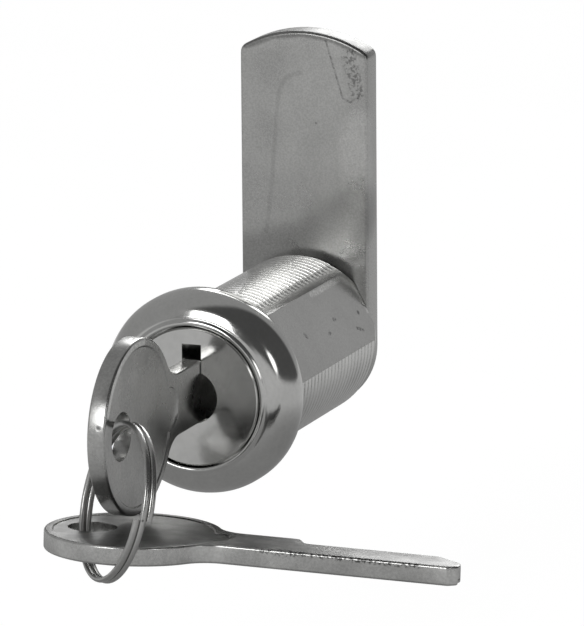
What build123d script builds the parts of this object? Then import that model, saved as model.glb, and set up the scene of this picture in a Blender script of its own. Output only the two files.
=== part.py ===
from build123d import *
from math import atan2, cos, hypot, pi, radians, sin, sqrt, tan
import os

# Frame: origin on the lock axis at the back face of the flange, +Y into the panel,
# +Z up towards the tip of the cam, +X right as seen from the front.

# Plug
plug_radius = 6.2
plug_head_shoulder = 1.4
plug_head_length = 3.7
plug_edge = 0.2
run_clearance = 0.05
rear_clearance = 0.1
keyway_clearance = 0.02
slot_clearance = 0.075
slot_margin = 1.8
slot_depth = 3.4
tail_side = 7.0
tail_corner = 0.8
tail_setback = 0.15

# Housing, built outwards from the plug
housing_wall = 2.75
barrel_length = 28.6
flat_depth = 1.0
flat_turn = 28.0
end_drop = 0.6
end_taper = 1.7
flange_overhang = 2.2
flange_rim = 0.95
flange_chamfer = 0.3
dome_bulge = 0.83
dome_facets = 5
crease_width = 0.17
dome_crease_depth = 0.2
lip_width = 0.85
lip_crease_depth = 0.1
lip_bulge = 0.17
lip_facets = 3
face_depth = 4.4
mouth_chamfer = 0.25

# Stop lug on the back of the plug and its pocket in the housing
lug_height = 0.8
lug_length = 2.3
lug_angle = 160.0
lug_half_width = 20.0
lug_play = 1.0
lug_gap = 0.2
lug_radial_clearance = 0.08
plug_turn = 90.0

# Cam and its fixing
cam_thickness = 3.0
cam_half_width = 7.5
cam_tip = 33.8
cam_tip_arc = 14.3
cam_foot = 1.5
cam_edge = 0.45
drive_clearance = 0.05
screw_radius = 2.1
screw_length = 11.0
screw_thread_engaged = 9.85
screw_head_flats = 8.0
screw_head_height = 3.5
screw_head_chamfer = 0.9
washer_outer = 4.6
washer_inner = 2.6
washer_thickness = 1.2
washer_gap = 0.9

# Keys, seen flat: u along the blade from the bow centre, v across it
key_thickness = 2.05
bow_radius = 9.4
neck_half = 3.4
neck_fillet = 3.6
step_start = 17.35
step_end = 18.5
step_round = 0.6
blade_upper = 1.45
blade_tip = 36.5
tip_slope = 3.4
tip_flat = 1.7
tip_shoulder = 1.0
tip_setback = 0.35
tip_chamfer = 0.8
ring_hole_radius = 2.6
ring_hole_inset = 4.8
key_edge = 0.3
bow_centre_y = -21.3
key_axis_z = 0.7
withdrawal_margin = 0.4

# Wafers, their springs and the track milled in the blade
wafer_count = 6
wafer_first = 2.6
wafer_pitch = 2.15
wafer_thickness = 0.9
wafer_half_width = 2.5
wafer_top_drop = 1.2
wafer_window_clearance = 0.225
wafer_height_clearance = 0.12
wafer_drop = 0.9
wafer_side_clearance = 0.05
wafer_top_clearance = 0.15
nib_width = 1.1
nib_clearance = 0.1
nib_root = 0.1
track_depth = 0.65
track_tip_height = 0.9
track_run_out = 0.6
ear_drop = 1.3
ear_low = 0.2
ear_high = 1.4
ear_root = 1.0
groove_depth = 0.95
groove_clearance = 0.12
groove_end = 1.0

spring_radius = 0.62
spring_wire = 0.13
spring_clearance = 0.13
spring_turns = 4
spring_steps = 6
spring_wire_sides = 4
spring_cover = 0.75

# Split ring: it hangs from the hole of the inserted key and carries the spare key
ring_radius = 8.2
ring_wire = 0.32
ring_pitch = 0.68
ring_turns = 2
ring_steps = 32
ring_wire_sides = 8
ring_normal = (-0.7204, -0.6481, 0.2469)
ring_hang = Vector(2.223, -4.628, -5.772)
ring_sag = 0.475
spare_hang = Vector(-4.681, 4.478, -5.048)
spare_rotation = (-3.7, 0.6, 1.9)

plug_head_radius = plug_radius + plug_head_shoulder
slot_top = plug_head_radius - slot_margin
lug_radius = plug_radius + lug_height
bore_radius = plug_radius + run_clearance
groove_radius = bore_radius + groove_depth
barrel_radius = bore_radius + housing_wall
flat_distance = barrel_radius - flat_depth
end_radius = barrel_radius - end_drop
flange_radius = barrel_radius + flange_overhang
lip_radius = plug_head_radius + lip_width
dome_crease_radius = lip_radius + crease_width
plug_rear = barrel_length + rear_clearance
tail_length = cam_thickness - tail_setback
tail_end = plug_rear + tail_length
cam_back = plug_rear + cam_thickness
head_back = -face_depth + plug_head_length
ring_hole_u = ring_hole_inset - bow_radius
blade_bottom = key_axis_z - neck_half
blade_end_y = bow_centre_y + blade_tip
hole_radius = hypot(blade_bottom, key_thickness / 2) + keyway_clearance
slot_width = key_thickness + 2 * slot_clearance
track_width = nib_width + 2 * nib_clearance
wafer_top = plug_radius - wafer_top_drop
wafer_span = wafer_pitch * (wafer_count - 1)
ear_reach = plug_radius - ear_drop
spring_offset = (wafer_half_width + ear_reach) / 2
spring_top = sqrt(plug_radius ** 2 - (spring_offset + spring_radius) ** 2) - spring_cover
withdrawal = blade_end_y + face_depth + withdrawal_margin
wafer_ratio = wafer_drop / withdrawal
ring_hole_place = Vector(0, bow_centre_y + ring_hole_u, key_axis_z)
ring_centre = ring_hole_place + ring_hang.normalized() * (ring_radius - ring_sag)
spare_hole_place = ring_centre + spare_hang.normalized() * ring_radius


def revolve_y(points):
    return revolve(Plane.XY * make_face(Polyline(*points, close=True)), axis=Axis.Y)


def along_y(face, start, length):
    """A face drawn in x, z extruded from y = start backwards by length."""
    plane = Plane(origin=(0, start, 0), x_dir=(1, 0, 0), z_dir=(0, -1, 0))
    return extrude(plane * face, amount=-length)


def sector(radius, centre_angle, half_width):
    """Pie slice in x, z about the lock axis; angles grow from +X towards +Z."""
    reach = radius / cos(radians(half_width / 2))
    steps = [radians(centre_angle + half_width * k / 2) for k in (-2, -1, 0, 1, 2)]
    wedge = make_face(Polyline((0, 0), *[(2 * reach * cos(a), 2 * reach * sin(a)) for a in steps], close=True))
    return wedge & Circle(radius)


def coil(radius, pitch, turns, steps, wire, sides):
    """Wire wound about +Z from z = 0, as short straight runs."""
    angles = [2 * pi * k / steps for k in range(turns * steps + 1)]
    path = Polyline(*[(radius * cos(a), radius * sin(a), pitch * a / (2 * pi)) for a in angles])
    section = Plane(origin=path @ 0, z_dir=path % 0) * RegularPolygon(wire, sides)
    return sweep(section, path=path, transition=Transition.RIGHT)


def flange():
    """Rim, domed front, crease and the proud lip round the plug; both crowns are turned in narrow facets."""
    dome = SagittaArc((flange_radius, -flange_rim), (dome_crease_radius, -face_depth + dome_crease_depth), dome_bulge)
    lip = SagittaArc((lip_radius, -face_depth + lip_crease_depth), (plug_head_radius, -face_depth), lip_bulge)
    dome_points = [dome @ (k / dome_facets) for k in range(dome_facets + 1)]
    lip_points = [lip @ (k / lip_facets) for k in range(lip_facets + 1)]
    return revolve_y([(0, -face_depth), (0, 0), (flange_radius - flange_chamfer, 0), (flange_radius, -flange_chamfer),
                      *dome_points, *lip_points])


def barrel():
    taper = barrel_length - end_taper
    body = revolve_y([(0, 0), (barrel_radius, 0), (barrel_radius, taper), (end_radius, barrel_length),
                      (0, barrel_length)])
    between_flats = Rotation(0, 0, flat_turn) * Rectangle(2 * flat_distance, 4 * barrel_radius)
    return body & along_y(between_flats, 0, barrel_length)


def housing():
    body = flange() + barrel()
    mouth = plug_head_radius + run_clearance
    body -= revolve_y([(0, -2 * face_depth), (mouth + mouth_chamfer, -2 * face_depth),
                       (mouth + mouth_chamfer, -face_depth), (mouth, -face_depth + mouth_chamfer),
                       (mouth, head_back + run_clearance), (0, head_back + run_clearance)])
    body -= along_y(Circle(bore_radius), -face_depth, face_depth + barrel_length)
    groove = Circle(groove_radius) & (Pos(0, -groove_radius)
                                      * Rectangle(2 * (wafer_half_width + groove_clearance), 2 * groove_radius))
    for turn in (0, -plug_turn):
        body -= along_y(Rotation(0, 0, turn) * groove, wafer_first - groove_end, wafer_span + 2 * groove_end)
    pocket = sector(lug_radius + lug_radial_clearance, lug_angle - plug_turn / 2,
                    plug_turn / 2 + lug_half_width + lug_play)
    body -= along_y(pocket, barrel_length - lug_length - lug_gap, lug_length + lug_gap)
    return body


def wafer_y(index):
    return wafer_first + wafer_pitch * index


def ear_side(index):
    return 1 if index % 2 == 0 else -1


def wafer_slot(index):
    """Opening in the plug for one wafer, its ear and the spring above the ear."""
    thickness = wafer_thickness + 2 * wafer_side_clearance
    start = wafer_y(index) - thickness / 2
    top = wafer_top + wafer_top_clearance
    height = top + 1.2 * plug_radius
    plate = Pos(0, top - height / 2) * Rectangle(2 * (wafer_half_width + wafer_side_clearance), height)
    ear_floor = ear_low - wafer_drop - wafer_top_clearance
    ear_width = 1.2 * plug_radius - wafer_half_width
    ear = (Pos(ear_side(index) * (wafer_half_width + ear_width / 2), (ear_floor + spring_top) / 2)
           * Rectangle(ear_width, spring_top - ear_floor))
    well_width = 2 * (spring_radius + spring_clearance)
    well_floor = ear_high - wafer_drop
    well = (Pos(ear_side(index) * spring_offset, (well_floor + spring_top) / 2)
            * Rectangle(well_width, spring_top - well_floor))
    opening = along_y(plate, start, thickness) + along_y(ear, start, thickness)
    return opening + along_y(well, wafer_y(index) - well_width / 2, well_width)


def plug():
    edge_radius = plug_head_radius - plug_edge
    core = revolve_y([(0, -face_depth), (edge_radius, -face_depth), (plug_head_radius, -face_depth + plug_edge),
                      (plug_head_radius, head_back), (plug_radius, head_back), (plug_radius, plug_rear),
                      (0, plug_rear)])
    core += along_y(sector(lug_radius, lug_angle, lug_half_width), barrel_length - lug_length, lug_length)
    core += along_y(RectangleRounded(tail_side, tail_side, tail_corner), plug_rear, tail_length)
    core -= along_y(Circle(hole_radius), -face_depth, face_depth + blade_end_y + rear_clearance)
    core -= along_y(Pos(0, slot_top / 2) * Rectangle(slot_width, slot_top), -face_depth, slot_depth)
    for index in range(wafer_count):
        core -= wafer_slot(index)
    return core - along_y(Circle(screw_radius), tail_end - screw_length, screw_length)


def track_height(u):
    """Height of the middle of the track above the key's axis, at u from the bow centre."""
    return track_tip_height + track_width / 2 - neck_half + (blade_tip - u) * wafer_ratio


def wafer(index):
    side = ear_side(index)
    plate = Circle(plug_radius - wafer_side_clearance) & Rectangle(2 * wafer_half_width, 2 * plug_radius)
    plate &= Pos(0, wafer_top - plug_radius) * Rectangle(2 * plug_radius, 2 * plug_radius)
    ear_middle = Pos(side * (ear_root + ear_reach) / 2, (ear_low + ear_high) / 2)
    plate += ear_middle * Rectangle(ear_reach - ear_root, ear_high - ear_low)
    half_window = key_thickness / 2 + wafer_window_clearance
    window_top = key_axis_z + blade_upper + wafer_drop + wafer_height_clearance
    window_bottom = blade_bottom - wafer_height_clearance
    plate -= (Pos(0, (window_top + window_bottom) / 2)
              * Rectangle(2 * half_window, window_top - window_bottom))
    nib_tip = key_thickness / 2 - track_depth + nib_clearance
    nib_back = half_window + nib_root
    nib_z = key_axis_z + track_height(wafer_y(index) - bow_centre_y)
    plate += Pos(-(nib_back + nib_tip) / 2, nib_z) * Rectangle(nib_back - nib_tip, nib_width)
    return along_y(plate, wafer_y(index) - wafer_thickness / 2, wafer_thickness)


def wafer_spring(index):
    height = spring_top - ear_high - 2 * spring_wire
    spring = coil(spring_radius - spring_wire, height / spring_turns, spring_turns, spring_steps, spring_wire,
                  spring_wire_sides)
    return Pos(ear_side(index) * spring_offset, wafer_y(index), ear_high + spring_wire) * spring


def key_outline():
    """Round bow, fillets into the neck, the stepped edge at +v and the bevelled tip."""
    fillet_v = neck_half + neck_fillet
    fillet_u = sqrt((bow_radius + neck_fillet) ** 2 - fillet_v ** 2)
    share = bow_radius / (bow_radius + neck_fillet)
    touch = (fillet_u * share, fillet_v * share)
    middle = (atan2(fillet_v - touch[1], fillet_u - touch[0]) + pi / 2) / 2
    crown = (fillet_u - neck_fillet * cos(middle), fillet_v - neck_fillet * sin(middle))
    slope_end = (blade_tip - tip_setback, -neck_half + tip_flat + tip_shoulder)
    lower = -neck_half
    edge = Polyline((fillet_u, neck_half), (step_start, neck_half), (step_end, blade_upper),
                    (blade_tip - tip_slope, blade_upper), slope_end, (blade_tip, lower + tip_flat),
                    (blade_tip, lower + tip_chamfer), (blade_tip - tip_chamfer, lower), (fillet_u, lower))
    face = make_face([
        ThreePointArc(touch, crown, (fillet_u, neck_half)),
        edge,
        ThreePointArc((fillet_u, lower), (crown[0], -crown[1]), (touch[0], -touch[1])),
        ThreePointArc((touch[0], -touch[1]), (-bow_radius, 0), touch),
    ])
    step = face.vertices().filter_by_position(Axis.X, step_start - key_edge, step_end + key_edge)
    return fillet(step.filter_by_position(Axis.Y, 0, neck_half + key_edge), step_round)


def key():
    """Key lying flat, its hidden face down at w = -key_thickness and the blade towards +u."""
    body = extrude(key_outline(), amount=-key_thickness)
    faces = body.faces().sort_by(Axis.Z)
    body = chamfer(faces[0].edges() + faces[-1].edges(), key_edge)
    body -= Pos(ring_hole_u, 0, -key_thickness / 2) * Cylinder(ring_hole_radius, 2 * key_thickness)
    start = step_end + track_run_out
    end = blade_tip + track_run_out
    half = track_width / 2
    track = make_face(Polyline((start, track_height(start) - half), (end, track_height(end) - half),
                               (end, track_height(end) + half), (start, track_height(start) + half), close=True))
    return body - Pos(0, 0, -key_thickness) * extrude(track, amount=track_depth)


def key_in_lock():
    """u runs to +Y, v to +Z and the track faces -X."""
    place = Plane(origin=(key_thickness / 2, bow_centre_y, key_axis_z), x_dir=(0, 1, 0), z_dir=(1, 0, 0))
    return place.location * key()


def spare_key():
    return Location(spare_hole_place, spare_rotation) * Pos(-ring_hole_u, 0, key_thickness / 2) * key()


def split_ring():
    ring = Pos(0, 0, -ring_pitch * ring_turns / 2) * coil(ring_radius, ring_pitch, ring_turns, ring_steps,
                                                          ring_wire, ring_wire_sides)
    return Plane(origin=ring_centre, z_dir=ring_normal).location * ring


def cam():
    half = cam_half_width
    corner_z = cam_tip - cam_tip_arc + sqrt(cam_tip_arc ** 2 - half ** 2)
    outline = make_face([
        Line((-half, -cam_foot), (-half, corner_z)),
        ThreePointArc((-half, corner_z), (0, cam_tip), (half, corner_z)),
        Line((half, corner_z), (half, -cam_foot)),
        ThreePointArc((half, -cam_foot), (0, -cam_foot - half), (-half, -cam_foot)),
    ])
    plate = along_y(outline, plug_rear, cam_thickness)
    faces = plate.faces().sort_by(Axis.Y)
    plate = chamfer(faces[0].edges() + faces[-1].edges(), cam_edge)
    side = tail_side + 2 * drive_clearance
    return plate - along_y(RectangleRounded(side, side, tail_corner), plug_rear, cam_thickness)


def lock_washer():
    ring = Circle(washer_outer) - Circle(washer_inner)
    ring -= Pos(washer_outer, 0) * Rectangle(2 * washer_outer, washer_gap)
    return along_y(ring, cam_back, washer_thickness)


def cam_screw():
    under_head = cam_back + washer_thickness
    top = under_head + screw_head_height
    head = along_y(RegularPolygon(screw_head_flats / 2, 6, major_radius=False), under_head, screw_head_height)
    corner = screw_head_flats / 2 / cos(pi / 6)
    slope = screw_head_chamfer * tan(pi / 6)
    head &= revolve_y([(0, under_head), (corner, under_head), (corner, top - slope),
                       (corner - screw_head_chamfer, top), (0, top)])
    shank = tail_end - screw_thread_engaged
    return head + along_y(Circle(screw_radius), shank, under_head - shank)


def write(name, shape):
    export_step(shape, f"parts/{name}.step")


def main():
    os.makedirs("parts", exist_ok=True)
    write("housing", housing())
    write("plug", plug())
    write("cam", cam())
    write("lock_washer", lock_washer())
    write("cam_screw", cam_screw())
    write("key_in_lock", key_in_lock())
    write("spare_key", spare_key())
    write("split_ring", split_ring())
    for index in range(wafer_count):
        write(f"wafer_{index + 1}", wafer(index))
        write(f"wafer_spring_{index + 1}", wafer_spring(index))


main()
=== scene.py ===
import bmesh
import bpy
from math import asin, atan2, cos, pi, radians, sin, sqrt
from mathutils import Matrix, Vector


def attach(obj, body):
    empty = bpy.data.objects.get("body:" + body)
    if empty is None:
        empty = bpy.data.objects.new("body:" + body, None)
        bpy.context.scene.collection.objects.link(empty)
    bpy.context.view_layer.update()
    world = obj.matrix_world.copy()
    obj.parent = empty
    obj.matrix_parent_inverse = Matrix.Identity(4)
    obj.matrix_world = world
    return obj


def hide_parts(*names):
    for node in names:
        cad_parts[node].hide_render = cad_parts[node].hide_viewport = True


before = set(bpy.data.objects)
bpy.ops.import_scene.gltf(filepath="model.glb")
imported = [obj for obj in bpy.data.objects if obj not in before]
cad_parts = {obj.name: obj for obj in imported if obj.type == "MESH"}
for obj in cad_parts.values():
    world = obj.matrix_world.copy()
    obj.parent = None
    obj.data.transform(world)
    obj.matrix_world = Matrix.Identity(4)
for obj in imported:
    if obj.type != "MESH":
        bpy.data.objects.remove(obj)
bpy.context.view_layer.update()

# The camera, fitted to the photograph
IMAGE_HEIGHT = 626
CAMERA_AZIMUTH = radians(21.627)
CAMERA_ELEVATION = radians(12.91)
CAMERA_ROLL = radians(-0.436)
FOCAL_PIXELS = 7288
CAMERA_DISTANCE = 0.7823
CAMERA_SHIFT_X = -0.009077
CAMERA_SHIFT_Y = -0.008060
SENSOR = 36.0

# Sizes of the object in metres
MM = 0.001
BARREL_RADIUS = 9.0 * MM
BARREL_LENGTH = 28.6 * MM
FLAT_DISTANCE = 8.0 * MM
FLAT_TURN = radians(28)
END_RADIUS = 8.4 * MM
END_TAPER = 1.7 * MM
THREAD_PITCH = 1.0 * MM
THREAD_DEPTH = 0.32 * MM
THREAD_START = 2.0 * MM
THREAD_RUN_IN = 0.5 * MM
PLAIN_HALF = radians(34)
FLAT_HALF = radians(25)
PLAIN_FADE = radians(3)
BORE_RADIUS = 6.25 * MM
GROOVE_RADIUS = 7.2 * MM
GROOVE_HALF = 2.62 * MM
GROOVE_START = 1.6 * MM
GROOVE_END = 14.35 * MM
POCKET_RADIUS = 7.08 * MM
POCKET_START = 26.1 * MM
POCKET_TURNS = (radians(49), radians(181))

CAM_BACK = 28.7 * MM
CAM_THICKNESS = 3.0 * MM
CAM_HALF = 7.5 * MM
CAM_TIP = 33.8 * MM
CAM_TIP_ARC = 14.3 * MM
CAM_FOOT = 1.5 * MM
CAM_ROUND = 0.35 * MM
CAM_CORNER = 0.7 * MM
EDGE_ROUND = 0.2 * MM
RIM_STEPS = 6
TAIL_HALF = 3.55 * MM

# Key seen flat: u along the blade from the middle of the bow, v across it
KEY_THICKNESS = 2.05 * MM
BOW_RADIUS = 9.4 * MM
NECK_HALF = 3.4 * MM
NECK_FILLET = 3.6 * MM
STEP_START = 17.35 * MM
STEP_END = 18.5 * MM
STEP_ROUND = 0.5 * MM
BLADE_UPPER = 1.45 * MM
BLADE_TIP = 36.5 * MM
TIP_SLOPE = 3.4 * MM
TIP_FLAT = 1.7 * MM
TIP_SHOULDER = 1.0 * MM
TIP_SETBACK = 0.35 * MM
TIP_CHAMFER = 0.8 * MM
TIP_ROUND = 0.3 * MM
HOLE_RADIUS = 2.6 * MM
HOLE_U = -4.6 * MM
KEY_ROUND = 0.26 * MM
PANEL_INSET = 1.0 * MM
PANEL_DEPTH = 0.12 * MM
PANEL_SLOPE = 1.02
TRACK_START = 19.1 * MM
TRACK_DEPTH = 0.65 * MM
TRACK_HALF = 0.65 * MM
TRACK_TIP_V = -1.85 * MM
TRACK_SLOPE = 0.045
BOW_PLACE = Vector((1.025, -21.3, 0.7)) * MM
SPARE_HOLE = Vector((-2.458, -26.05, -10.12)) * MM
SPARE_TURNS = (radians(-3.7), radians(0.6), radians(1.9))

RING_CENTRE = Vector((2.223, -30.528, -5.072)) * MM
RING_NORMAL = Vector((-0.7204, -0.6481, 0.2469)).normalized()
RING_RADIUS = 8.2 * MM
RING_WIRE = 0.3 * MM
RING_PITCH = 0.68 * MM
WIRE_FLAT = 1.08
WIRE_SWELL = 1.2

FLOOR_Z = -0.030
FLOOR_RADIUS = 1.2

DULL_ROUGHNESS = 0.2

# Brightness of the surroundings that the metal shows
PALE_ROOM = 0.38
DARK_ROOM = 0.09
PALE_FLOOR = 0.62
# SHADED_FLOOR and SHADE_REACH paint the lock's shadow into the floor's glow that the metal sees.
SHADED_FLOOR = 0.27
SHADE_REACH = (0.035, 0.13)


def make_camera():
    a, e, roll = CAMERA_AZIMUTH, CAMERA_ELEVATION, CAMERA_ROLL
    forward = Vector((-sin(a) * cos(e), cos(a) * cos(e), -sin(e)))
    level = Vector((cos(a), sin(a), 0))
    rise = level.cross(forward)
    right = cos(roll) * level + sin(roll) * rise
    up = -sin(roll) * level + cos(roll) * rise
    data = bpy.data.cameras.new("photo_camera")
    data.sensor_width = SENSOR
    data.lens = FOCAL_PIXELS * SENSOR / IMAGE_HEIGHT
    data.clip_start = 0.05
    data.clip_end = 5
    camera = bpy.data.objects.new("photo_camera", data)
    axes = Matrix((right, up, -forward)).transposed().to_4x4()
    place = -(CAMERA_SHIFT_X * right + CAMERA_SHIFT_Y * up + CAMERA_DISTANCE * forward)
    camera.matrix_world = Matrix.Translation(place) @ axes
    bpy.context.scene.collection.objects.link(camera)
    bpy.context.scene.camera = camera


def lamp(name, direction, distance, size, power):
    """Soft square lamp that faces the lock from the given direction."""
    data = bpy.data.lights.new(name, "AREA")
    data.shape = "RECTANGLE"
    data.size, data.size_y = size
    data.energy = power
    item = bpy.data.objects.new(name, data)
    item.location = Vector(direction).normalized() * distance
    item.rotation_euler = (-item.location).to_track_quat("-Z", "Y").to_euler()
    bpy.context.scene.collection.objects.link(item)


def feed(tree, value, socket):
    """Link a node's output to the socket, or set the socket to a plain value."""
    if isinstance(value, bpy.types.NodeSocket):
        tree.links.new(value, socket)
    else:
        socket.default_value = value


def maths(tree, operation, *values):
    node = tree.nodes.new("ShaderNodeMath")
    node.operation = operation
    for socket, value in zip(node.inputs, values):
        feed(tree, value, socket)
    return node.outputs[0]


def vector_maths(tree, operation, *values):
    node = tree.nodes.new("ShaderNodeVectorMath")
    node.operation = operation
    for socket, value in zip(node.inputs, values):
        feed(tree, value, socket)
    return node.outputs["Value" if operation in ("DOT_PRODUCT", "DISTANCE") else "Vector"]


def ramp(tree, source, low, high, start, end):
    node = tree.nodes.new("ShaderNodeMapRange")
    node.interpolation_type = "SMOOTHSTEP"
    for socket, value in zip(node.inputs, (source, low, high, start, end)):
        feed(tree, value, socket)
    return node.outputs["Result"]


def noise(tree, place, scale, detail):
    node = tree.nodes.new("ShaderNodeTexNoise")
    node.inputs["Scale"].default_value = scale
    node.inputs["Detail"].default_value = detail
    tree.links.new(place, node.inputs["Vector"])
    return node.outputs["Fac"]


def pits(tree, place, scale, share):
    """1 in small round pits, in the given share of the cells."""
    node = tree.nodes.new("ShaderNodeTexVoronoi")
    node.inputs["Scale"].default_value = scale
    tree.links.new(place, node.inputs["Vector"])
    chosen = ramp(tree, vector_maths(tree, "DOT_PRODUCT", node.outputs["Color"], (1, 0, 0)), share, share + 0.02, 1, 0)
    return maths(tree, "MULTIPLY", ramp(tree, node.outputs["Distance"], 0.05, 0.16, 1, 0), chosen)


def near_line(tree, place, start, end, width):
    """1 on the line between two points, in millimetres, fading to 0 at the width."""
    start, end = Vector(start) * MM, Vector(end) * MM
    run = end - start
    offset = vector_maths(tree, "SUBTRACT", place, start)
    share = maths(tree, "DIVIDE", vector_maths(tree, "DOT_PRODUCT", offset, run), run.length_squared)
    held = maths(tree, "MINIMUM", maths(tree, "MAXIMUM", share, 0.0), 1.0)
    foot = vector_maths(tree, "MULTIPLY", run, held)
    return ramp(tree, vector_maths(tree, "DISTANCE", offset, foot), 0.25 * width * MM, width * MM, 1, 0)


def strongest(tree, masks):
    total = masks[0]
    for mask in masks[1:]:
        total = maths(tree, "MAXIMUM", total, mask)
    return total


def metal(name, tone, rough, patch, grain, pitting, marks=(), dull_and_shaded_side=((0, 0, -1), 0.0)):
    """Plated metal: cloudy tone and gloss, fine grain, scattered pits, marks of wear or of tools, painted highlights
    and shade, and a rougher side with painted shade.

    grain is its scale, height and contrast, pitting its scale, share and depth, and a mark is a list
    of lines with a width, the tone that it takes off (a negative tone paints a highlight), its depth and how broken it
    is.
    dull_and_shaded_side is a side that is made rougher and the tone that it loses in mottled patches, as painted
    shade.
    """
    material = bpy.data.materials.new(name)
    material.use_nodes = True
    tree = material.node_tree
    shader = tree.nodes["Principled BSDF"]
    shader.inputs["Metallic"].default_value = 1.0
    place, facing = [tree.nodes.new("ShaderNodeTexCoord").outputs[way] for way in ("Object", "Normal")]
    cloud = noise(tree, place, 170.0, 5.0)
    stipple = noise(tree, place, grain[0], 4.0)
    pit = pits(tree, place, pitting[0], pitting[1])
    light = ramp(tree, cloud, 0.2, 0.8, tone * (1 - patch), tone * (1 + patch))
    light = maths(tree, "MULTIPLY", light, ramp(tree, stipple, 0.25, 0.75, 1 - grain[2], 1 + grain[2]))
    light = maths(tree, "MULTIPLY", light, ramp(tree, pit, 0.0, 1.0, 1.0, 0.35))
    # On the side that faces the given direction, tone is lost in mottled patches as painted shade, and that side is
    # made rougher.
    side = ramp(tree, vector_maths(tree, "DOT_PRODUCT", facing, dull_and_shaded_side[0]), 0.85, 0.97, 0.0, 1.0)
    painted_shade_patches = ramp(tree, noise(tree, place, 420.0, 5.0), 0.35, 0.6, 0.78 * dull_and_shaded_side[1], dull_and_shaded_side[1])
    light = maths(tree, "MULTIPLY", light, maths(tree, "SUBTRACT", 1.0, maths(tree, "MULTIPLY", side, painted_shade_patches)))
    height = maths(tree, "MULTIPLY", stipple, grain[1] * MM)
    height = maths(tree, "SUBTRACT", height, maths(tree, "MULTIPLY", pit, pitting[2] * MM))
    for lines, width, loss, depth, broken in marks:
        struck = strongest(tree, [near_line(tree, place, start, end, width) for start, end in lines])
        speckle = ramp(tree, noise(tree, place, 3400.0, 2.0), 0.35, 0.6, 1.0, 1.0 - broken)
        struck = maths(tree, "MULTIPLY", struck, speckle)
        light = maths(tree, "MULTIPLY", light, ramp(tree, struck, 0.0, 1.0, 1.0, 1.0 - loss))
        height = maths(tree, "SUBTRACT", height, maths(tree, "MULTIPLY", struck, depth * MM))
    tint = tree.nodes.new("ShaderNodeCombineColor")
    for socket, share in zip(tint.inputs, (1.0, 1.0, 0.98)):
        tree.links.new(maths(tree, "MULTIPLY", light, share), socket)
    tree.links.new(tint.outputs["Color"], shader.inputs["Base Color"])
    matt = maths(tree, "MULTIPLY", side, DULL_ROUGHNESS * dull_and_shaded_side[1])
    gloss = ramp(tree, cloud, 0.3, 0.75, rough * 0.8, rough * 1.25)
    tree.links.new(maths(tree, "ADD", gloss, matt), shader.inputs["Roughness"])
    bump = tree.nodes.new("ShaderNodeBump")
    bump.inputs["Distance"].default_value = 1.0
    tree.links.new(height, bump.inputs["Height"])
    tree.links.new(bump.outputs["Normal"], shader.inputs["Normal"])
    return material


def piece(name, data, material, body, node):
    item = bpy.data.objects.new(name, data)
    bpy.context.scene.collection.objects.link(item)
    data.materials.append(material)
    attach(item, body)
    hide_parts(node)


def mesh_of(name, work):
    bmesh.ops.recalc_face_normals(work, faces=work.faces)
    data = bpy.data.meshes.new(name)
    work.to_mesh(data)
    work.free()
    return data


def smooth_by_angle(data, limit):
    """Smooth faces, with every edge that turns by more than the limit kept sharp."""
    data.polygons.foreach_set("use_smooth", [True] * len(data.polygons))
    work = bmesh.new()
    work.from_mesh(data)
    for edge in work.edges:
        edge.smooth = len(edge.link_faces) == 2 and edge.calc_face_angle(0) < limit
    work.to_mesh(data)
    work.free()


def lathe(points, steps):
    """Closed ring about the lock's axis from (radius, y) points in order."""
    work = bmesh.new()
    rings = []
    for k in range(steps):
        a = 2 * pi * k / steps
        rings.append([work.verts.new((r * cos(a), y, r * sin(a))) for r, y in points])
    for here, there in zip(rings, rings[1:] + rings[:1]):
        for j in range(len(points)):
            n = (j + 1) % len(points)
            work.faces.new((here[j], here[n], there[n], there[j]))
    return work


def combine(data, tool_data, operation):
    """The mesh with the tool's mesh cut from it, or what both meshes share."""
    base = bpy.data.objects.new("base", data)
    tool = bpy.data.objects.new("tool", tool_data)
    for item in (base, tool):
        bpy.context.scene.collection.objects.link(item)
    change = base.modifiers.new("cut", "BOOLEAN")
    change.operation = operation
    change.solver = "EXACT"
    change.object = tool
    graph = bpy.context.evaluated_depsgraph_get()
    made = bpy.data.meshes.new_from_object(base.evaluated_get(graph))
    for item in (base, tool):
        bpy.data.objects.remove(item)
    return made


def arc(centre, radius, start, end, steps):
    turns = [start + (end - start) * k / steps for k in range(steps + 1)]
    return [(centre[0] + radius * cos(t), centre[1] + radius * sin(t)) for t in turns]


def rounded(corner, before, after, reach):
    """Short curve in place of a corner, along the lines to its two neighbours."""
    middle = Vector(corner)
    start = middle + (Vector(before) - middle).normalized() * reach
    end = middle + (Vector(after) - middle).normalized() * reach
    shares = [k / 4 for k in range(5)]
    return [tuple((1 - t) ** 2 * start + 2 * t * (1 - t) * middle + t * t * end) for t in shares]


def inset(loop, distance):
    """Closed loop moved square to its sides, to the left of the way it runs."""
    moved = []
    for before, spot, after in zip(loop[-1:] + loop[:-1], loop, loop[1:] + loop[:1]):
        run_in = (Vector(spot) - Vector(before)).normalized()
        middle = (run_in + (Vector(after) - Vector(spot)).normalized()).normalized()
        reach = distance / max(middle.dot(run_in), 0.5)
        moved.append((spot[0] - middle.y * reach, spot[1] + middle.x * reach))
    return moved


def roll(reach):
    """Section of a rolled rim as distances in from the side and from the flat."""
    turns = [pi / 2 * k / RIM_STEPS for k in range(RIM_STEPS + 1)] if reach else [pi / 2]
    return [(reach * (1 - sin(t)), reach * (1 - cos(t))) for t in turns]


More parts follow.
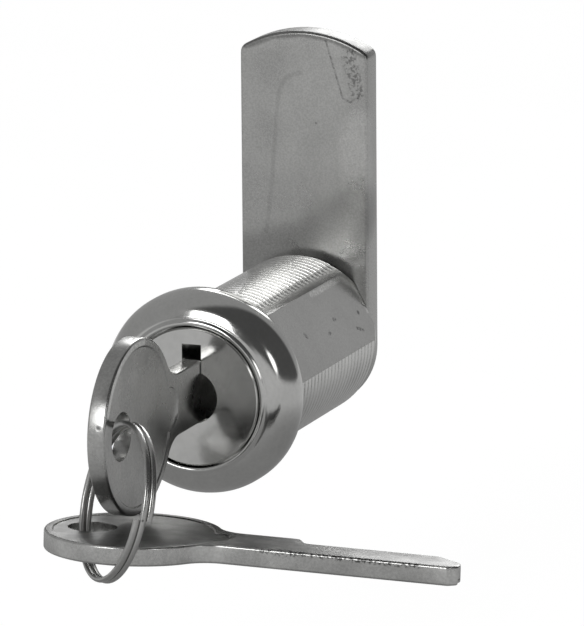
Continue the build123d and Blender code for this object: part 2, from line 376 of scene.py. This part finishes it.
def plate(loops, low, high):
    """Flat plate between two heights, from loops with the metal on their left and their two rims' roundings."""
    work = bmesh.new()
    caps = ([], [])
    for loop, under_reach, over_reach in loops:
        under = [(side, low + rise) for side, rise in roll(under_reach)]
        over = [(side, high - rise) for side, rise in reversed(roll(over_reach))]
        rings = [[work.verts.new((x, y, z)) for x, y in inset(loop, side)] for side, z in under + over]
        for here, there in zip(rings, rings[1:]):
            for k in range(len(loop)):
                work.faces.new((here[k - 1], here[k], there[k], there[k - 1]))
        for cap, ring in zip(caps, (rings[0], rings[-1])):
            cap += [work.edges.get(pair) for pair in zip(ring, ring[1:] + ring[:1])]
    for cap in caps:
        bmesh.ops.triangle_fill(work, use_beauty=True, use_dissolve=False, edges=cap)
    bmesh.ops.recalc_face_normals(work, faces=work.faces)
    return work


def thread_depth(angle):
    """Full beyond the two flats and the plain strip on one side of each, none on them."""
    turned = (angle - FLAT_TURN + pi / 2) % pi - pi / 2
    plain = PLAIN_HALF if turned > 0 else FLAT_HALF
    return min(max((abs(turned) - plain) / PLAIN_FADE, 0), 1)


def thread_mesh():
    """Barrel skin whose rows follow the helix, so that each crest is one clean edge."""
    shape = ((0.0, 0.0), (0.6, 0.0), (0.66, 0.12), (0.78, 1.0), (0.84, 1.0), (0.96, 0.12))
    columns = 180
    turns = round(BARREL_LENGTH / THREAD_PITCH) + 3
    rows = [(turn + part, depth) for turn in range(-2, turns) for part, depth in shape]
    work = bmesh.new()
    grid = []
    for part, depth in rows:
        line = []
        for k in range(columns):
            a = 2 * pi * k / columns
            y = (part + k / columns) * THREAD_PITCH
            fade = min(max((y - THREAD_START) / THREAD_RUN_IN, 0), 1)
            r = BARREL_RADIUS - THREAD_DEPTH * depth * fade * thread_depth(a)
            line.append(work.verts.new((r * cos(a), y, r * sin(a))))
        grid.append(line)
    step = len(shape)
    for j in range(len(rows) - step - 1):
        for k in range(columns - 1):
            work.faces.new((grid[j][k], grid[j + 1][k], grid[j + 1][k + 1], grid[j][k + 1]))
        work.faces.new((grid[j][-1], grid[j + 1][-1], grid[j + 1 + step][0], grid[j + step][0]))
    bmesh.ops.delete(work, geom=[v for v in work.verts if not v.link_faces], context="VERTS")
    bmesh.ops.holes_fill(work, edges=[edge for edge in work.edges if edge.is_boundary])
    bmesh.ops.triangulate(work, faces=[face for face in work.faces if len(face.verts) > 4])
    return mesh_of("thread", work)


def prism(outline, start, end):
    """Mesh of an outline in x, z that runs along the lock's axis between two distances."""
    work = plate([(outline, 0, 0)], -end, -start)
    bmesh.ops.transform(work, matrix=Matrix.Rotation(pi / 2, 4, "X"), verts=work.verts)
    return mesh_of("prism", work)


def barrel_voids():
    """Two grooves that the wafers drop into, locked and open, and the pocket for the plug's lug."""
    edge = asin(GROOVE_HALF / GROOVE_RADIUS)
    groove = [(-GROOVE_HALF, 0)] + arc((0, 0), GROOVE_RADIUS, -pi / 2 - edge, edge - pi / 2, 8) + [(GROOVE_HALF, 0)]
    side_groove = [(y, -x) for x, y in groove]
    pocket = [(0, 0)] + arc((0, 0), POCKET_RADIUS, POCKET_TURNS[0], POCKET_TURNS[1], 32)
    voids = [prism(outline, GROOVE_START, GROOVE_END) for outline in (groove, side_groove)]
    return voids + [prism(pocket, POCKET_START, BARREL_LENGTH + 0.5 * MM)]


def barrel_envelope():
    """What the thread is cut to: the flats, the taper, the bore and its hollows."""
    wide = 1.05 * BARREL_RADIUS
    slope = (BARREL_RADIUS - END_RADIUS) / END_TAPER
    start = BARREL_LENGTH - END_TAPER - (wide - BARREL_RADIUS) / slope
    tube = mesh_of("tube", lathe([(BORE_RADIUS, -0.5 * MM), (wide, -0.5 * MM), (wide, start),
                                  (END_RADIUS, BARREL_LENGTH), (BORE_RADIUS, BARREL_LENGTH)], 180))
    work = bmesh.new()
    bmesh.ops.create_cube(work, size=1)
    size = Matrix.Diagonal((2 * FLAT_DISTANCE, 4 * BARREL_LENGTH, 4 * BARREL_RADIUS, 1))
    bmesh.ops.transform(work, matrix=Matrix.Rotation(-FLAT_TURN, 4, "Y") @ size, verts=work.verts)
    envelope = combine(tube, mesh_of("flats", work), "INTERSECT")
    for void in barrel_voids():
        envelope = combine(envelope, void, "DIFFERENCE")
    return envelope


def flange_profile():
    """Back face, rim, domed front, crease, bright lip and recess for the plug."""
    back = [(10.9, 0.0), (11.12, -0.1), (11.2, -0.3)]
    dome = [(11.2, -0.95), (11.19, -1.45), (11.06, -2.0), (10.8, -2.6), (10.42, -3.2), (10.0, -3.66), (9.6, -3.91),
            (9.2, -4.06), (8.9, -4.16), (8.66, -4.24)]
    lip = [(8.56, -4.25), (8.5, -4.27), (8.44, -4.32), (8.36, -4.42), (8.22, -4.49), (8.02, -4.515),
           (7.92, -4.5), (7.84, -4.44), (7.79, -4.34), (7.78, -4.1)]
    inner = [(7.78, -0.65), (6.25, -0.65), (6.25, 0.0)]
    return [(r * MM, y * MM) for r, y in back + dome + lip + inner]


def cam_plate():
    """Strap with a round foot, an arched tip, rolled edges and the square hole of the plug's tail."""
    corner = CAM_TIP - CAM_TIP_ARC + sqrt(CAM_TIP_ARC ** 2 - CAM_HALF ** 2)
    middle = (0, CAM_TIP - CAM_TIP_ARC)
    reach = atan2(corner - middle[1], CAM_HALF)
    tip = arc(middle, CAM_TIP_ARC, reach, pi - reach, 24)
    foot = arc((0, -CAM_FOOT), CAM_HALF, pi, 2 * pi, 40)
    outline = rounded(tip[0], foot[-1], tip[1], CAM_CORNER) + tip[2:-2]
    outline += rounded(tip[-1], tip[-2], foot[0], CAM_CORNER) + foot
    hole = [(-TAIL_HALF, -TAIL_HALF), (-TAIL_HALF, TAIL_HALF), (TAIL_HALF, TAIL_HALF), (TAIL_HALF, -TAIL_HALF)]
    loops = [(outline, EDGE_ROUND, CAM_ROUND), (hole, EDGE_ROUND, EDGE_ROUND)]
    work = plate(loops, -CAM_BACK - CAM_THICKNESS, -CAM_BACK)
    bmesh.ops.transform(work, matrix=Matrix.Rotation(pi / 2, 4, "X"), verts=work.verts)
    return mesh_of("cam_plate", work)


def key_outline():
    """Round bow, fillets into the neck, the bevelled tip and the step back up to the neck."""
    fillet_v = NECK_HALF + NECK_FILLET
    fillet_u = sqrt((BOW_RADIUS + NECK_FILLET) ** 2 - fillet_v ** 2)
    touch = atan2(fillet_v, fillet_u)
    corners = [((BLADE_TIP - TIP_CHAMFER, -NECK_HALF), TIP_ROUND), ((BLADE_TIP, -NECK_HALF + TIP_CHAMFER), TIP_ROUND),
               ((BLADE_TIP, -NECK_HALF + TIP_FLAT), TIP_ROUND),
               ((BLADE_TIP - TIP_SETBACK, -NECK_HALF + TIP_FLAT + TIP_SHOULDER), TIP_ROUND),
               ((BLADE_TIP - TIP_SLOPE, BLADE_UPPER), TIP_ROUND), ((STEP_END, BLADE_UPPER), STEP_ROUND),
               ((STEP_START, NECK_HALF), STEP_ROUND)]
    spots = [(fillet_u, -NECK_HALF)] + [spot for spot, reach in corners] + [(fillet_u, NECK_HALF)]
    outline = arc((0, 0), BOW_RADIUS, touch, 2 * pi - touch, 80)
    outline += arc((fillet_u, -fillet_v), NECK_FILLET, pi - touch, pi / 2, 8)[1:]
    for k, (spot, reach) in enumerate(corners):
        outline += rounded(spot, spots[k], spots[k + 2], reach)
    return outline + arc((fillet_u, fillet_v), NECK_FILLET, -pi / 2, touch - pi, 8)[:-1]


def key_panel(side):
    """Tool for the sunk panel of the bow, which ends in a nose on the neck."""
    radius = BOW_RADIUS - PANEL_INSET
    half = NECK_HALF - PANEL_INSET
    turn = asin(half / radius)
    outline = arc((0, 0), radius, turn, 2 * pi - turn, 80)
    outline += arc((radius * cos(turn), 0), half, -pi / 2, pi / 2, 16)[1:-1]
    work = plate([(outline, 0, 0)], 0, 2 * PANEL_DEPTH)
    top = [v for v in work.verts if v.co.z > PANEL_DEPTH]
    spread = 2 * PANEL_SLOPE - 1
    bmesh.ops.scale(work, vec=(spread, spread, 1), verts=top)
    turned = Matrix.Rotation(pi if side < 0 else 0, 4, "X")
    surface = 0 if side > 0 else -KEY_THICKNESS
    bmesh.ops.transform(work, matrix=Matrix.Translation((0, 0, surface - side * PANEL_DEPTH)) @ turned,
                        verts=work.verts)
    return mesh_of("panel", work)


def key_track():
    """Tool for the inclined track in the hidden face of the blade."""
    end = BLADE_TIP + TRACK_HALF
    start_v = TRACK_TIP_V + (BLADE_TIP - TRACK_START) * TRACK_SLOPE
    end_v = TRACK_TIP_V - TRACK_HALF * TRACK_SLOPE
    outline = [(TRACK_START, start_v - TRACK_HALF), (end, end_v - TRACK_HALF), (end, end_v + TRACK_HALF),
               (TRACK_START, start_v + TRACK_HALF)]
    return mesh_of("track", plate([(outline, 0, 0)], -2 * KEY_THICKNESS, -KEY_THICKNESS + TRACK_DEPTH))


def key_mesh(name, place):
    """Key with rolled rims, put in its place by the matrix."""
    hole = arc((HOLE_U, 0), HOLE_RADIUS, 2 * pi, 0, 40)[:-1]
    loops = [(key_outline(), KEY_ROUND, KEY_ROUND), (hole, EDGE_ROUND, EDGE_ROUND)]
    data = mesh_of(name, plate(loops, -KEY_THICKNESS, 0))
    for tool in (key_panel(1), key_panel(-1), key_track()):
        data = combine(data, tool, "DIFFERENCE")
    data.transform(place)
    smooth_by_angle(data, radians(32))
    return data


def flattened(side):
    """Section of the ring's wire across its turns, pressed flat where they touch."""
    return max(-WIRE_FLAT, min(WIRE_FLAT, WIRE_SWELL * side))


def ring_mesh():
    """Two turns of wire that lie on each other, with plain cut ends."""
    side = Vector((0, 0, 1)).cross(RING_NORMAL).normalized()
    across = RING_NORMAL.cross(side)
    steps = 2 * 128
    sides = 20
    work = bmesh.new()
    loops = []
    for k in range(steps + 1):
        a = 4 * pi * k / steps
        out = cos(a) * side + sin(a) * across
        centre = RING_CENTRE + RING_RADIUS * out + RING_NORMAL * RING_PITCH * (a / (2 * pi) - 1)
        spots = [(cos(2 * pi * j / sides), sin(2 * pi * j / sides)) for j in range(sides)]
        loops.append([work.verts.new(centre + RING_WIRE * (x * out + flattened(y) * RING_NORMAL)) for x, y in spots])
    for here, there in zip(loops, loops[1:]):
        for j in range(sides):
            work.faces.new((here[j], here[(j + 1) % sides], there[(j + 1) % sides], there[j]))
    work.faces.new(loops[0])
    work.faces.new(loops[-1])
    return mesh_of("split_ring_wire", work)


def seen_ways(tree):
    """Light path outputs: seen straight by the camera, and seen also in metal or through glass."""
    path = tree.nodes.new("ShaderNodeLightPath").outputs
    mirrored = maths(tree, "MAXIMUM", path["Is Glossy Ray"], path["Is Transmission Ray"])
    return path["Is Camera Ray"], maths(tree, "MAXIMUM", path["Is Camera Ray"], mirrored)


def make_floor():
    """Pale floor that reads as white in the picture and as pale in the metal, and still takes the shadow; near the
    lock, the glow that the metal sees is dimmed as a painted shadow.
    """
    work = bmesh.new()
    bmesh.ops.create_circle(work, cap_ends=True, segments=96, radius=FLOOR_RADIUS)
    bmesh.ops.translate(work, vec=(0, 0, FLOOR_Z), verts=work.verts)
    floor = bpy.data.objects.new("floor", mesh_of("floor", work))
    bpy.context.scene.collection.objects.link(floor)
    material = bpy.data.materials.new("floor_white")
    material.use_nodes = True
    tree = material.node_tree
    tree.nodes.clear()
    camera, seen = seen_ways(tree)
    matte = tree.nodes.new("ShaderNodeBsdfDiffuse")
    place = tree.nodes.new("ShaderNodeTexCoord").outputs["Object"]
    paper = ramp(tree, noise(tree, place, 30.0, 3.0), 0.3, 0.7, 0.86, 0.9)
    tree.links.new(paper, matte.inputs["Color"])
    glow = tree.nodes.new("ShaderNodeEmission")
    # The glow that the metal sees is dimmed near the lock: painted shadow.
    away = vector_maths(tree, "DISTANCE", place, (0, 0.01, FLOOR_Z))
    painted_shadow_glow = ramp(tree, away, SHADE_REACH[0], SHADE_REACH[1], SHADED_FLOOR, PALE_FLOOR)
    feed(tree, ramp(tree, camera, 0.0, 1.0, painted_shadow_glow, 1.1), glow.inputs["Strength"])
    mix = tree.nodes.new("ShaderNodeMixShader")
    feed(tree, maths(tree, "MULTIPLY", seen, 0.86), mix.inputs["Fac"])
    tree.links.new(matte.outputs[0], mix.inputs[1])
    tree.links.new(glow.outputs[0], mix.inputs[2])
    tree.links.new(mix.outputs[0], tree.nodes.new("ShaderNodeOutputMaterial").inputs["Surface"])
    floor.data.materials.append(material)


def soft_box(tree, look, direction, inner, outer, strength):
    """Round patch of light in a direction, full inside one angle and gone at another."""
    facing = vector_maths(tree, "DOT_PRODUCT", look, Vector(direction).normalized())
    return ramp(tree, facing, cos(radians(outer)), cos(radians(inner)), 0.0, strength)


def make_world():
    """White behind the object; the metal sees a room that is pale on the left and at the floor, dark on the right."""
    world = bpy.data.worlds.new("studio")
    bpy.context.scene.world = world
    world.use_nodes = True
    tree = world.node_tree
    look = tree.nodes.new("ShaderNodeTexCoord").outputs["Generated"]
    left = ramp(tree, vector_maths(tree, "DOT_PRODUCT", look, (-0.866, 0.5, 0)), -0.14, 0.04, DARK_ROOM, PALE_ROOM)
    height = vector_maths(tree, "DOT_PRODUCT", look, (0, 0.12, 1))
    room = maths(tree, "MAXIMUM", left, ramp(tree, height, 0.0, 0.12, PALE_FLOOR, 0.0))
    for box in (((-0.13, 0.89, 0.42), 10, 17, 7.0), ((0.77, -0.55, 0.32), 6, 11, 2.6)):
        room = maths(tree, "ADD", room, soft_box(tree, look, *box))
    camera, seen = seen_ways(tree)
    plain = tree.nodes.new("ShaderNodeMix")
    feed(tree, seen, plain.inputs[0])
    feed(tree, 0.4, plain.inputs[2])
    feed(tree, room, plain.inputs[3])
    final = tree.nodes.new("ShaderNodeMix")
    feed(tree, camera, final.inputs[0])
    feed(tree, plain.outputs[0], final.inputs[2])
    feed(tree, 1.0, final.inputs[3])
    shade = tree.nodes["Background"]
    shade.inputs["Color"].default_value = (1, 1, 1, 1)
    feed(tree, final.outputs[0], shade.inputs["Strength"])


make_camera()

tool_mark = [((2.65, 28.7, 32.95), (4.62, 28.7, 26.66)), ((4.62, 28.7, 26.66), (5.54, 28.7, 26.2)),
             ((5.54, 28.7, 26.2), (6.4, 28.7, 26.8))]
rubbed = [((5.3, 28.7, 31.6), (6.3, 28.7, 27.4))]
press_line = [((-0.39, 28.7, 29.14), (-2.17, 28.7, 28.46)), ((-2.17, 28.7, 28.46), (-2.77, 28.7, 27.3)),
              ((-2.77, 28.7, 27.3), (-3.14, 28.7, 25.36)), ((-3.14, 28.7, 25.36), (-3.87, 28.7, 15.96)),
              ((-3.87, 28.7, 15.96), (-4.54, 28.7, 11.04))]
# Painted dark reflection of the barrel: a band across the cam's face.
painted_reflection_band = [((-6.5, 28.7, 7.5), (0.5, 28.7, 9.5)), ((0.5, 28.7, 9.5), (6.5, 28.7, 14.0))]
# Painted shade along the rolled rim of the cam's tip, taking off the lamp's highlight there.
tip_edge_painted_shade = [((14.1 * sin(a), 28.85, 19.5 + 14.1 * cos(a)), (14.1 * sin(b), 28.85, 19.5 + 14.1 * cos(b)))
            for a, b in ((-0.5, -0.25), (-0.25, 0.0), (0.0, 0.25), (0.25, 0.54))]
# A lighter band near the right edge of the cam's face.
lighter_right_band = [((6.6, 28.7, 24.0), (6.6, 28.7, 16.0)), ((5.8, 28.7, 22.0), (6.0, 28.7, 17.0))]
nicks = [((6.94, 10.9, 4.0), (7.1, 11.3, 3.7)), ((7.52, 16.6, 2.89), (7.5, 17.1, 2.93)),
         ((7.0, 19.4, 3.87), (7.0, 19.9, 3.87)), ((8.0, 24.0, 2.0), (8.2, 25.2, 1.5))]
# A shallow groove on the barrel's flat, with a painted highlight along it.
crease_with_painted_highlight = [((5.3, 17.0, 7.0), (5.3, 25.8, 7.0)), ((5.3, 25.8, 7.0), (5.92, 27.7, 5.9)),
          ((5.92, 27.7, 5.9), (6.56, 28.5, 4.7)), ((6.56, 28.5, 4.7), (7.46, 28.5, 3.0))]
# Painted highlight along the upper rim of the inserted key's bow.
bow_rim_painted_highlight = [((1.0, -21.3 - 8.95 * cos(a), 0.7 + 8.95 * sin(a)), (1.0, -21.3 - 8.95 * cos(b), 0.7 + 8.95 * sin(b)))
           for a, b in ((0.35, 0.7), (0.7, 1.05), (1.05, 1.4), (1.4, 1.75))]
near_edge = [((12.9, -29.9, -9.1), (21.7, -28.3, -9.3)), ((21.7, -28.3, -9.3), (34.6, -28.2, -9.4))]

plating = metal("bright_plating", 0.56, 0.13, 0.08, (2600.0, 0.0012, 0.03), (300.0, 0.04, 0.01))
barrel_plating = metal("barrel_plating", 0.62, 0.2, 0.12, (4200.0, 0.004, 0.06), (420.0, 0.1, 0.02),
                       [(nicks, 0.35, 0.6, 0.02, 0.7), (crease_with_painted_highlight, 0.55, -0.6, 0.012, 0.6)])
plug_plating = metal("plug_plating_worn", 0.6, 0.13, 0.08, (900.0, 0.0008, 0.04), (330.0, 0.16, 0.012))
# The top of the cam's tip is made rougher and darker in mottled patches, which is painted shade.
cam_steel = metal("cam_zinc", 0.42, 0.3, 0.08, (5200.0, 0.007, 0.12), (700.0, 0.01, 0.004),
                  [(tool_mark, 0.2, 0.45, 0.004, 0.6), (rubbed, 1.4, 0.5, 0.002, 0.9),
                   (press_line, 0.4, 0.13, 0.002, 0.3), (painted_reflection_band, 5.0, 0.35, 0.0, 0.1),
                   (lighter_right_band, 2.6, -0.22, 0.0, 0.4), (tip_edge_painted_shade, 0.7, 0.5, 0.0, 0.2)], ((0.287, 0, 0.958), 0.68))
key_steel = metal("key_nickel", 0.42, 0.26, 0.2, (3600.0, 0.005, 0.1), (380.0, 0.14, 0.02),
                  [(bow_rim_painted_highlight, 0.5, -0.6, 0.0, 0.4)])
# The hanging key's top face is made rougher and darker in mottled patches, which is painted shade.
worn_and_shaded_key_steel = metal("worn_and_shaded_key_nickel", 0.45, 0.26, 0.28, (3600.0, 0.005, 0.1), (380.0, 0.14, 0.02),
                       [(near_edge, 0.7, 0.8, 0.003, 1.0)], ((0, 0, 1), 0.7))
ring_steel = metal("ring_nickel", 0.44, 0.3, 0.08, (3000.0, 0.002, 0.05), (900.0, 0.05, 0.01))
screw_steel = metal("fastener_zinc", 0.55, 0.28, 0.1, (4200.0, 0.005, 0.08), (800.0, 0.08, 0.02))
brass = metal("wafer_rolled", 0.5, 0.28, 0.1, (3000.0, 0.004, 0.06), (900.0, 0.05, 0.01))
spring_steel = metal("spring_wire_steel", 0.45, 0.28, 0.08, (5000.0, 0.002, 0.05), (900.0, 0.03, 0.01))

barrel = combine(thread_mesh(), barrel_envelope(), "INTERSECT")
smooth_by_angle(barrel, radians(20))
piece("threaded_barrel", barrel, barrel_plating, "housing", "housing")
flange = mesh_of("flange", lathe(flange_profile(), 220))
smooth_by_angle(flange, radians(40))
piece("domed_flange", flange, plating, "housing", "housing")
strap = cam_plate()
smooth_by_angle(strap, radians(40))
piece("cam_plate", strap, cam_steel, "plug", "cam")
wire = ring_mesh()
smooth_by_angle(wire, radians(50))
piece("split_ring_wire", wire, ring_steel, "ring", "split_ring")

in_lock = Matrix.Translation(BOW_PLACE) @ Matrix(((0, 0, 1), (1, 0, 0), (0, 1, 0))).to_4x4()
piece("inserted_key", key_mesh("inserted_key", in_lock), key_steel, "key", "key_in_lock")
hung = Matrix.Translation(SPARE_HOLE)
for turn, axis in zip(SPARE_TURNS, "XYZ"):
    hung = hung @ Matrix.Rotation(turn, 4, axis)
hung = hung @ Matrix.Translation((-HOLE_U, 0, KEY_THICKNESS / 2))
piece("hanging_key", key_mesh("hanging_key", hung), worn_and_shaded_key_steel, "spare", "spare_key")

carried = {"plug": plug_plating, "lock_washer": screw_steel, "cam_screw": screw_steel}
carried.update({f"wafer_{k}": brass for k in range(1, 7)})
carried.update({f"wafer_spring_{k}": spring_steel for k in range(1, 7)})
for name, material in carried.items():
    for slot in bpy.data.objects[name].material_slots:
        slot.material = material

make_floor()
make_world()
lamp("front_lamp", (-0.21, -0.9, 0.37), 0.6, (0.2, 0.2), 0.85)
bpy.context.scene.view_settings.view_transform = "Standard"
